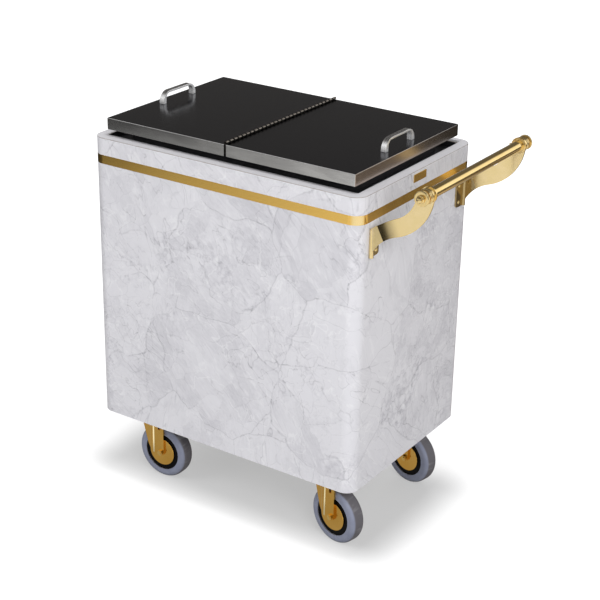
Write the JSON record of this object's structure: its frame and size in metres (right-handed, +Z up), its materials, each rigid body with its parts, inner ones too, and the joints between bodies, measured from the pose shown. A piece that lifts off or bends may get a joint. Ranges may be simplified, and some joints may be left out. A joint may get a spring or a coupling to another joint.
{
  "type": "ice cart",
  "caption": "Insulated ice cart: marble-look case with a brass band on brass swivel casters, folding two-leaf steel lid over a drained tub, and a brass push handle.",
  "frame": {"origin": "on the floor, under the middle of the overall outline, push handle included", "axes": "+X towards the push handle, +Y towards the back long side, +Z up"},
  "size_m": [0.8724, 0.4976, 0.9407],
  "materials": {
    "marble_laminate": "satin",
    "rim_laminate": "satin",
    "satin_brass": "satin",
    "plywood": "matte",
    "foam": "matte",
    "black_plastic": "satin",
    "tub_steel": "satin",
    "seal_rubber": "matte",
    "valve_brass": "satin",
    "lever_steel": "satin",
    "polished_brass": "polished",
    "lid_steel": "satin",
    "brushed_steel": "satin",
    "hinge_steel": "satin",
    "bolt_steel": "satin",
    "caster_brass": "polished",
    "wheel_black": "satin",
    "tyre_grey": "matte"
  },
  "bodies": {
    "cart": {"body_shell": "marble_laminate", "top_rim": "rim_laminate", "brass_band": "satin_brass", "plaque": "satin_brass", "base_panel": "plywood", "shelf_panel": "plywood", "shelf_cleats": "plywood", "insulation": "foam", "neck_frame": "black_plastic", "ice_tub": "tub_steel", "lid_seal": "seal_rubber", "drain_rack": "tub_steel", "drain_fitting": "tub_steel", "drain_pipe": "tub_steel", "valve_body": "valve_brass", "bracket_front": "polished_brass", "bracket_back": "polished_brass", "bracket_screws": "polished_brass", "push_bar": "polished_brass", "bar_collars": "polished_brass", "bar_finials": "polished_brass", "caster_fl_plate": "caster_brass", "caster_fr_plate": "caster_brass", "caster_bl_plate": "caster_brass", "caster_br_plate": "caster_brass", "caster_bolts": "bolt_steel"},
    "lid_left": {"lid_left_shell": "lid_steel", "lid_left_core": "foam", "lid_left_liner": "tub_steel", "lid_left_handle": "brushed_steel", "lid_left_hinge": "hinge_steel", "hinge_pin": "hinge_steel"},
    "lid_right": {"lid_right_shell": "lid_steel", "lid_right_core": "foam", "lid_right_liner": "tub_steel", "lid_right_handle": "brushed_steel", "lid_right_hinge": "hinge_steel"},
    "valve_lever": {"valve_lever": "lever_steel"},
    "caster_fl_swivel": {"caster_fl_fork": "caster_brass", "caster_fl_axle": "caster_brass", "caster_fl_guards": "caster_brass"},
    "caster_fl_wheel": {"caster_fl_core": "wheel_black", "caster_fl_tyre": "tyre_grey"},
    "caster_fr_swivel": {"caster_fr_fork": "caster_brass", "caster_fr_axle": "caster_brass", "caster_fr_guards": "caster_brass"},
    "caster_fr_wheel": {"caster_fr_core": "wheel_black", "caster_fr_tyre": "tyre_grey"},
    "caster_bl_swivel": {"caster_bl_fork": "caster_brass", "caster_bl_axle": "caster_brass", "caster_bl_guards": "caster_brass"},
    "caster_bl_wheel": {"caster_bl_core": "wheel_black", "caster_bl_tyre": "tyre_grey"},
    "caster_br_swivel": {"caster_br_fork": "caster_brass", "caster_br_axle": "caster_brass", "caster_br_guards": "caster_brass"},
    "caster_br_wheel": {"caster_br_core": "wheel_black", "caster_br_tyre": "tyre_grey"}
  },
  "joints": [
    {"name": "lid_left_fold", "type": "hinge", "parent": "cart", "child": "lid_left", "pos_m": [-0.07585, 0, 0.915], "axis": [0, 1, 0], "range_deg": [0, 165]},
    {"name": "lid_right_fold", "type": "hinge", "parent": "cart", "child": "lid_right", "pos_m": [-0.07585, 0, 0.915], "axis": [0, 1, 0], "range_deg": [-165, 0]},
    {"name": "valve_turn", "type": "hinge", "parent": "cart", "child": "valve_lever", "pos_m": [-0.07585, 0.0248, 0.124], "axis": [0, 1, 0], "range_deg": [-90, 0]},
    {"name": "caster_fl_swivel", "type": "hinge", "parent": "cart", "child": "caster_fl_swivel", "pos_m": [-0.33085, -0.1685, 0.152], "axis": [0, 0, 1], "continuous": true},
    {"name": "caster_fl_roll", "type": "hinge", "parent": "caster_fl_swivel", "child": "caster_fl_wheel", "pos_m": [-0.29687, -0.16731, 0.069], "axis": [-0.0349, 0.9994, 0], "continuous": true},
    {"name": "caster_fr_swivel", "type": "hinge", "parent": "cart", "child": "caster_fr_swivel", "pos_m": [0.17915, -0.1685, 0.152], "axis": [0, 0, 1], "continuous": true},
    {"name": "caster_fr_roll", "type": "hinge", "parent": "caster_fr_swivel", "child": "caster_fr_wheel", "pos_m": [0.21241, -0.17557, 0.069], "axis": [0.2079, 0.9781, 0], "continuous": true},
    {"name": "caster_bl_swivel", "type": "hinge", "parent": "cart", "child": "caster_bl_swivel", "pos_m": [-0.33085, 0.1685, 0.152], "axis": [0, 0, 1], "continuous": true},
    {"name": "caster_bl_roll", "type": "hinge", "parent": "caster_bl_swivel", "child": "caster_bl_wheel", "pos_m": [-0.29687, 0.16969, 0.069], "axis": [-0.0349, 0.9994, 0], "continuous": true},
    {"name": "caster_br_swivel", "type": "hinge", "parent": "cart", "child": "caster_br_swivel", "pos_m": [0.17915, 0.1685, 0.152], "axis": [0, 0, 1], "continuous": true},
    {"name": "caster_br_roll", "type": "hinge", "parent": "caster_br_swivel", "child": "caster_br_wheel", "pos_m": [0.21241, 0.16143, 0.069], "axis": [0.2079, 0.9781, 0], "continuous": true}
  ]
}
